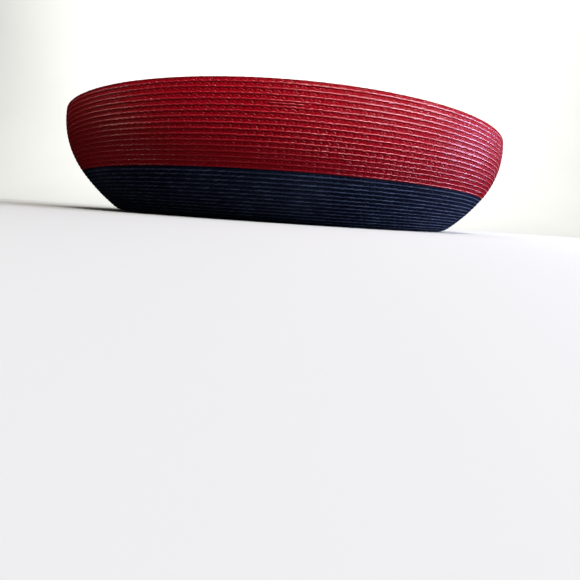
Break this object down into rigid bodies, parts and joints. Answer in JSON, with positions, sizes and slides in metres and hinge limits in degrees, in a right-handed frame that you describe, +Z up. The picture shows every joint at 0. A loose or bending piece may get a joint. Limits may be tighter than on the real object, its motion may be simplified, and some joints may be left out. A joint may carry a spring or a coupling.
{
  "type": "straw hat with rolled-up brim",
  "caption": "Wide straw hat with a rounded navy crown and a brim rolled up all round, navy below and glossy red above, sewn from fine rows of braid.",
  "frame": {"origin": "on the floor under the middle of the hat, at the level of the lowest ring of the brim", "axes": "+Z up through the crown, +Y from the wearer's front to the back along the longer way of the oval, +X to the viewer's right seen from the front"},
  "size_m": [0.3486, 0.3746, 0.104],
  "materials": {
    "navy_straw": "satin dyed straw braid",
    "red_straw": "glossy lacquered straw braid"
  },
  "bodies": {
    "root": {"crown": "navy_straw", "brim_under": "navy_straw", "brim_turn_up": "navy_straw", "brim_band": "red_straw"}
  },
  "joints": []
}
